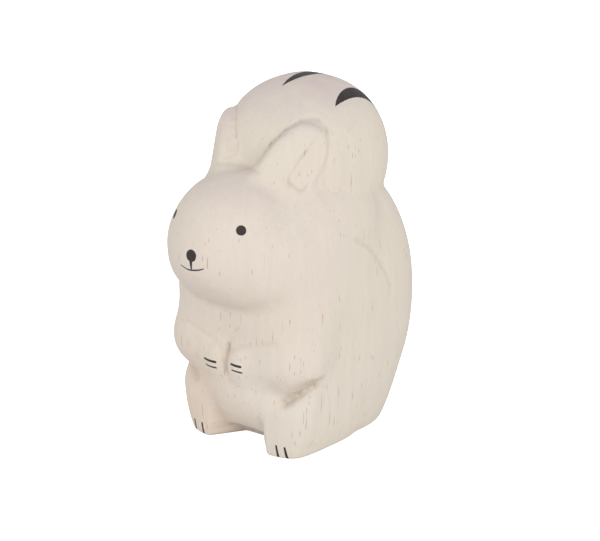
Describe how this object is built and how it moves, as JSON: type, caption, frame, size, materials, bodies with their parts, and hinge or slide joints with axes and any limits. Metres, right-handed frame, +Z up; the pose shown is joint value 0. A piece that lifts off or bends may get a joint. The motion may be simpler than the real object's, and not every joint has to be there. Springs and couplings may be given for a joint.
{
  "type": "carved wooden squirrel figurine",
  "caption": "Small carved and painted wooden squirrel that sits upright with its tail over its back; a shelf or tabletop ornament that stands on its flat underside",
  "frame": {"origin": "centre of the box in X and Y, on the ground plane the figurine stands on", "axes": "+Z up, the squirrel looks along -Y, its left side is +X"},
  "size_m": [0.035, 0.0544, 0.07],
  "materials": {
    "squirrel": "matt, unvarnished"
  },
  "bodies": {
    "root": {"squirrel": "squirrel"}
  },
  "joints": []
}
